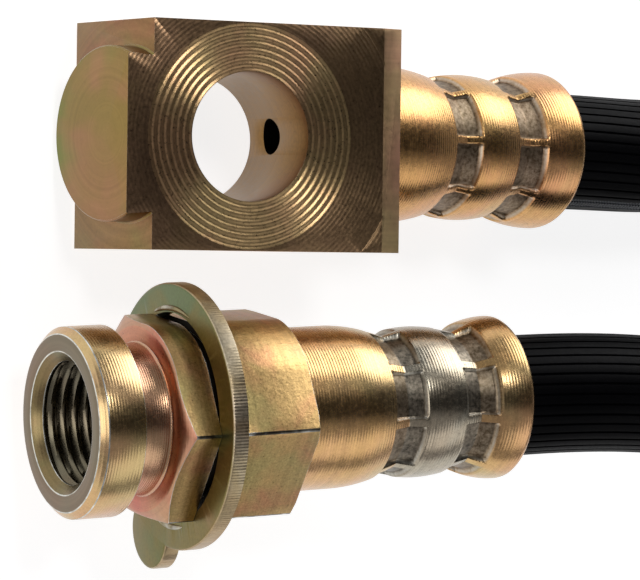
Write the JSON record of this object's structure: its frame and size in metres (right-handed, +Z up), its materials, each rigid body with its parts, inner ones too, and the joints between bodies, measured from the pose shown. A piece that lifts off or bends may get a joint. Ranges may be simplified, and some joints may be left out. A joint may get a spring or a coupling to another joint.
{
  "type": "hydraulic brake hose",
  "caption": "Brake hose with a rectangular banjo block end, a hex female threaded end with a round locating plate, and a reinforced rubber hose crimped in both.",
  "frame": {"origin": "on the surface that both ends rest on, in the middle of the two metal ends' footprint", "axes": "+X along the block end's hose axis, from the boss to the hose; +Z up, out of the surface; +Y across, from the female end to the block end"},
  "size_m": [0.2252, 0.1002, 0.0231],
  "materials": {
    "block_plating": "machined steel, yellow chromate zinc plate",
    "hex_plating": "turned steel, yellow chromate zinc plate",
    "plate_plating": "stamped steel, yellow chromate zinc plate",
    "gripped_rubber": "cut rubber, matt",
    "cover_rubber": "ribbed rubber cover, satin black"
  },
  "bodies": {
    "root": {"banjo_block_end": "block_plating", "female_threaded_end": "hex_plating", "locating_plate": "plate_plating", "gripped_hose_at_block": "gripped_rubber", "gripped_hose_at_female": "gripped_rubber", "hose": "cover_rubber"}
  },
  "joints": []
}
